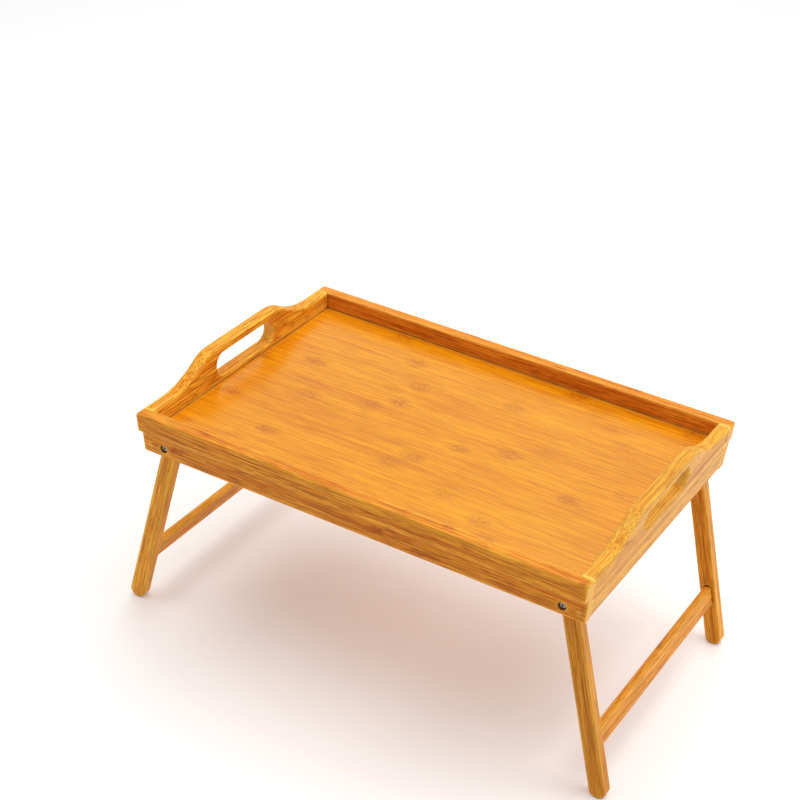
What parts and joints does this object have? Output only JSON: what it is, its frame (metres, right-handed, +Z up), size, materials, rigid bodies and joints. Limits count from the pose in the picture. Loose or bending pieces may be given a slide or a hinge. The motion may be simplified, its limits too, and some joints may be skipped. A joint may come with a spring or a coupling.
{
  "type": "folding tray table",
  "caption": "Bamboo bed tray with leaning walls, a slotted handle in each end, and leg pairs that fold flat under the tray.",
  "frame": {"origin": "on the floor, under the middle of the tray, legs open", "axes": "+Z up, +X along the tray's long side towards the right end board, -Y towards the front rail"},
  "size_m": [0.5704, 0.3386, 0.276],
  "materials": {
    "bamboo": "satin varnished solid bamboo",
    "bamboo_panel": "glossier varnished bamboo strips",
    "dowel_wood": "plain turned hardwood, unvarnished",
    "steel": "zinc-plated steel",
    "nylon": "natural nylon"
  },
  "bodies": {
    "tray": {"back_rail": "bamboo", "corner_dowels": "dowel_wood", "front_rail": "bamboo", "left_back_lock_nut": "steel", "left_back_pivot_bolt": "steel", "left_back_spacer": "nylon", "left_back_washer": "steel", "left_end_board": "bamboo", "left_front_lock_nut": "steel", "left_front_pivot_bolt": "steel", "left_front_spacer": "nylon", "left_front_washer": "steel", "right_back_lock_nut": "steel", "right_back_pivot_bolt": "steel", "right_back_spacer": "nylon", "right_back_washer": "steel", "right_end_board": "bamboo", "right_front_lock_nut": "steel", "right_front_pivot_bolt": "steel", "right_front_spacer": "nylon", "right_front_washer": "steel", "tray_panel": "bamboo_panel"},
    "left_legs": {"left_front_leg": "bamboo", "left_back_leg": "bamboo", "left_stretcher": "bamboo"},
    "right_legs": {"right_front_leg": "bamboo", "right_back_leg": "bamboo", "right_stretcher": "bamboo"}
  },
  "joints": [
    {"name": "left_leg_fold", "type": "hinge", "parent": "tray", "child": "left_legs", "pos_m": [-0.2232, 0, 0.216], "axis": [0, -1, 0], "range_deg": [0, 104.4]},
    {"name": "right_leg_fold", "type": "hinge", "parent": "tray", "child": "right_legs", "pos_m": [0.2232, 0, 0.216], "axis": [0, 1, 0], "range_deg": [0, 104.4]}
  ]
}
